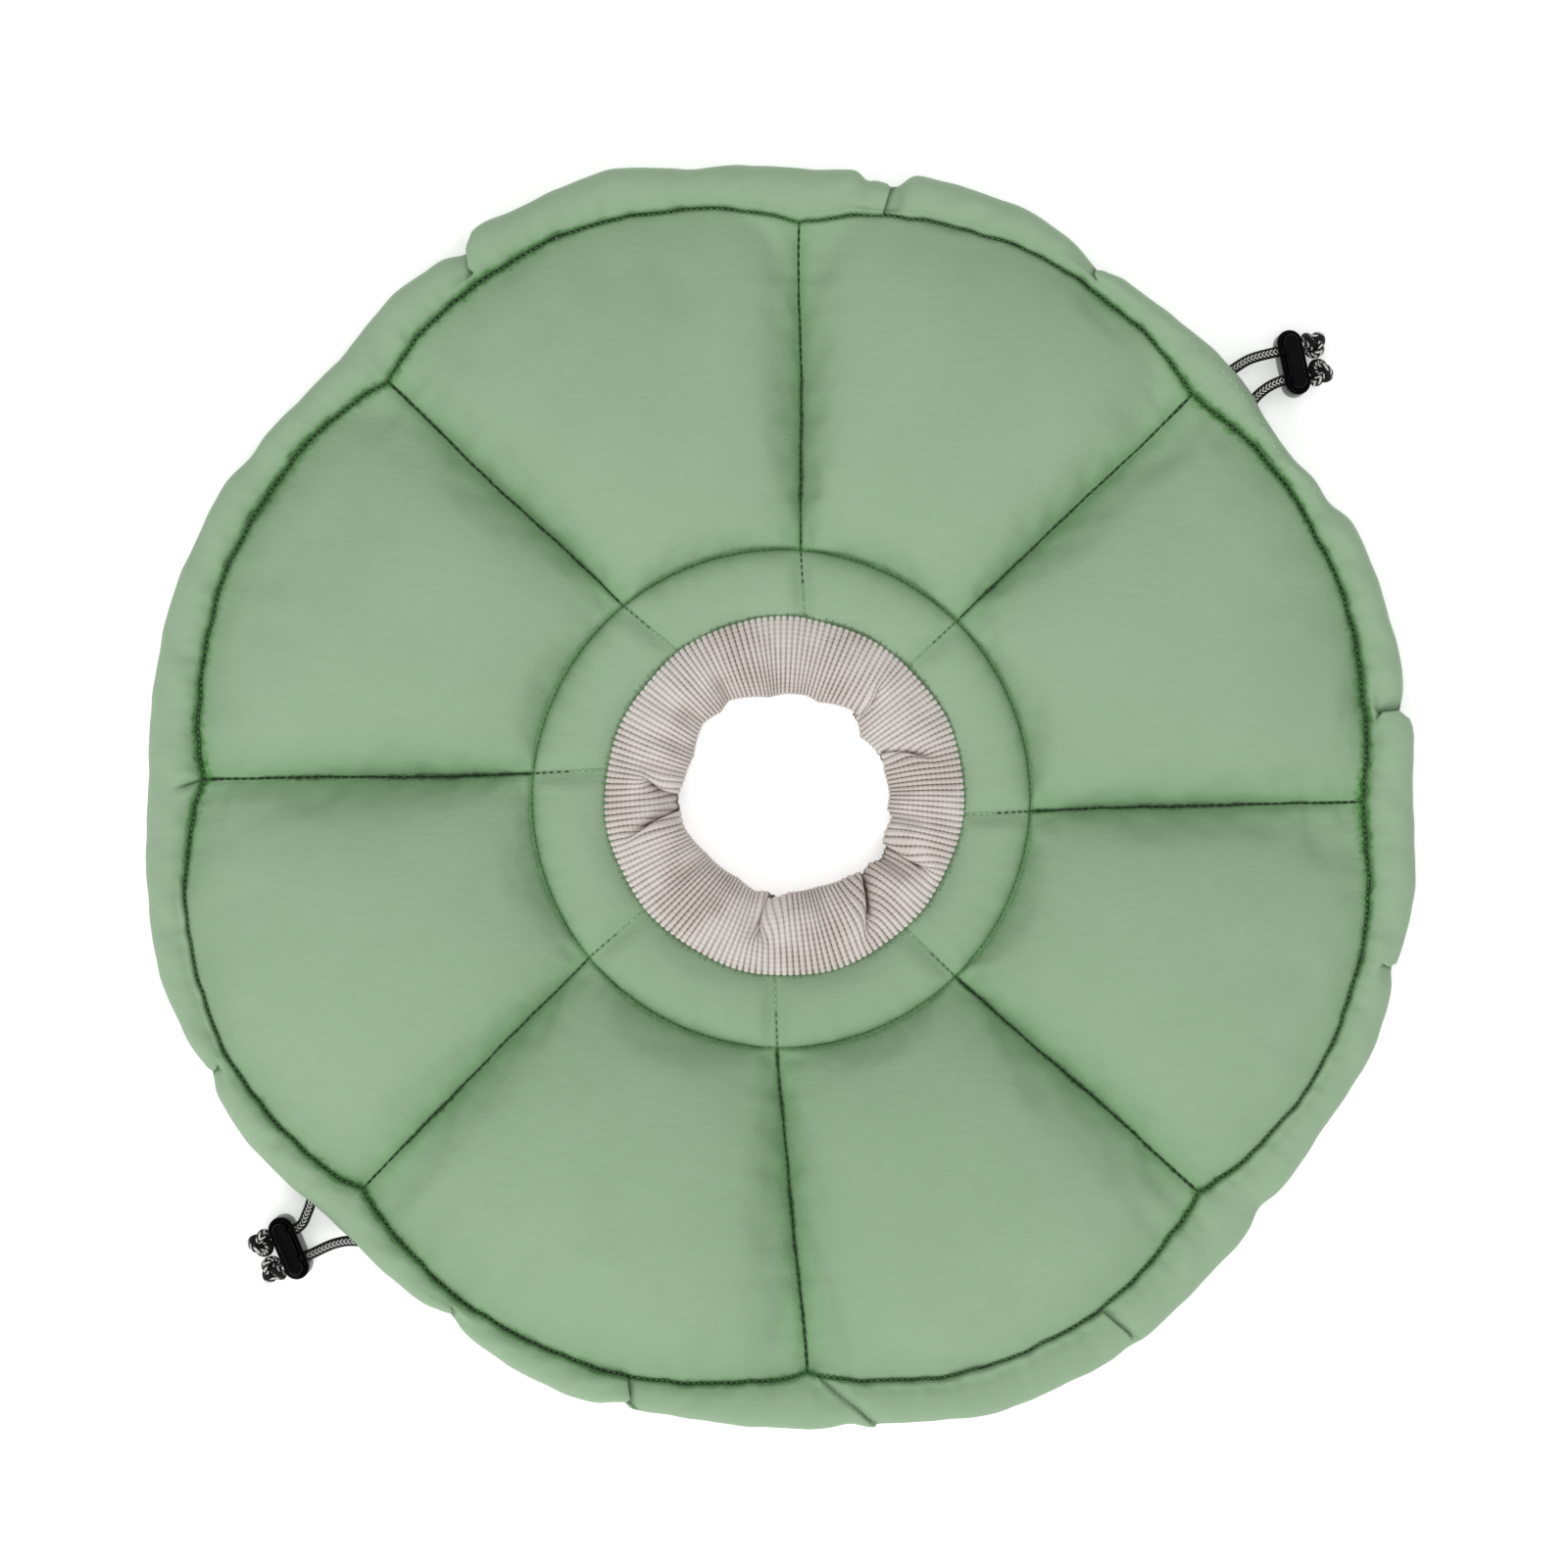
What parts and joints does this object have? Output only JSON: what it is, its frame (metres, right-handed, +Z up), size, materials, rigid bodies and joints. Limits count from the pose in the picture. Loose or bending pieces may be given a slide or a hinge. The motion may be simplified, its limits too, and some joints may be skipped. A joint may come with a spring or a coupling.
{
  "type": "cat recovery collar",
  "caption": "Soft padded recovery collar: quilted petals round a rib-knit neck cuff, with a drawcord casing, cord locks and knots.",
  "frame": {"origin": "middle of the padded disc's bounding box, on the surface that the collar lies on", "axes": "+Z up out of the face that the collar lies on; +X towards the radial seam at the picture's right, +Y towards the picture's top"},
  "size_m": [0.3104, 0.3091, 0.0218],
  "materials": {
    "brim_fabric": "sage green brushed microfibre, quilted",
    "casing_fabric": "sage green brushed microfibre, gathered",
    "rib_knit": "cream cotton rib knit",
    "braided_cord": "black braid with pale flecks",
    "lock_housing": "moulded gloss",
    "lock_plunger": "moulded satin gloss"
  },
  "bodies": {
    "collar": {"quilted_brim": "brim_fabric", "rim_casing": "casing_fabric", "neck_cuff": "rib_knit", "drawcord_upper": "braided_cord", "drawcord_lower": "braided_cord", "lock_ne_housing": "lock_housing", "lock_sw_housing": "lock_housing", "knot_ne_left": "braided_cord", "knot_ne_right": "braided_cord", "knot_sw_left": "braided_cord", "knot_sw_right": "braided_cord"},
    "ne_plunger": {"lock_ne_plunger": "lock_plunger"},
    "sw_plunger": {"lock_sw_plunger": "lock_plunger"}
  },
  "joints": [
    {"name": "ne_plunger_press", "type": "slide", "parent": "collar", "child": "ne_plunger", "axis": [0, 0, -1], "range_m": [0, 0.002], "stiffness_N_per_m": 400, "springref_m": -0.003},
    {"name": "sw_plunger_press", "type": "slide", "parent": "collar", "child": "sw_plunger", "axis": [0, 0, -1], "range_m": [0, 0.002], "stiffness_N_per_m": 400, "springref_m": -0.003}
  ]
}
